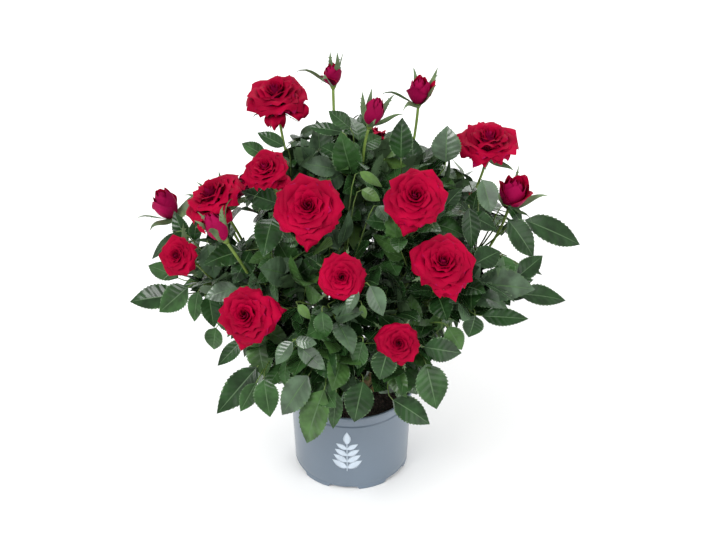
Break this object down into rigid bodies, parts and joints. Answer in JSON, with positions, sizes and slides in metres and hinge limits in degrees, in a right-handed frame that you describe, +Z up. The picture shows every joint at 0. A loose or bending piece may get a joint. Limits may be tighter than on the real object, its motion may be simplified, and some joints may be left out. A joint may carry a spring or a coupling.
{
  "type": "potted bush rose",
  "caption": "Bushy red rose in flower, in a small round plastic nursery pot that stands on notched feet.",
  "frame": {"origin": "centre of the pot's underside, at the level that its feet stand on", "axes": "+Z up along the pot's axis; -Y towards the front of the plant; +X to the right, seen from the front"},
  "size_m": [0.4297, 0.3701, 0.4062],
  "materials": {
    "pot_plastic": "satin cool grey moulded plastic",
    "potting_soil": "dark damp peat crumb",
    "cane_bark": "dull brown-green bark",
    "green_shoot": "smooth green shoot",
    "leaf": "glossy dark green leaf",
    "petal": "velvety crimson petal"
  },
  "bodies": {
    "root": {"pot": "pot_plastic", "soil": "potting_soil", "cane_1": "cane_bark", "cane_2": "cane_bark", "cane_3": "cane_bark", "cane_4": "cane_bark", "bough_low_front_left": "green_shoot", "bough_low_front": "green_shoot", "bough_low_front_right": "green_shoot", "bough_low_right": "green_shoot", "bough_low_back_right": "green_shoot", "bough_low_back": "green_shoot", "bough_low_back_left": "green_shoot", "bough_left": "green_shoot", "bough_front": "green_shoot", "bough_middle_right": "green_shoot", "bough_right": "green_shoot", "bough_front_left": "green_shoot", "bough_front_right": "green_shoot", "bough_back_right": "green_shoot", "bough_back_left": "green_shoot", "bough_top": "green_shoot", "foliage_low_front_left": "leaf", "foliage_low_front": "leaf", "foliage_low_front_right": "leaf", "foliage_low_right": "leaf", "foliage_low_back_right": "leaf", "foliage_low_back": "leaf", "foliage_low_back_left": "leaf", "foliage_left": "leaf", "foliage_front": "leaf", "foliage_middle_right": "leaf", "foliage_right": "leaf", "foliage_front_left": "leaf", "foliage_front_right": "leaf", "foliage_back_right": "leaf", "foliage_back_left": "leaf", "foliage_top": "leaf", "rose_top_left": "petal", "rose_right": "petal", "rose_upper_left": "petal", "rose_left": "petal", "rose_far_left": "petal", "rose_front_left": "petal", "rose_front_right": "petal", "rose_middle_right": "petal", "rose_middle": "petal", "rose_lower_left": "petal", "rose_lower_right": "petal", "rose_back": "petal", "rose_back_left": "petal", "rose_back_right": "petal", "rose_low_back": "petal", "bud_top": "petal", "bud_middle": "petal", "bud_top_right": "petal", "bud_right": "petal", "bud_far_left": "petal", "bud_left": "petal", "bud_back": "petal"}
  },
  "joints": []
}
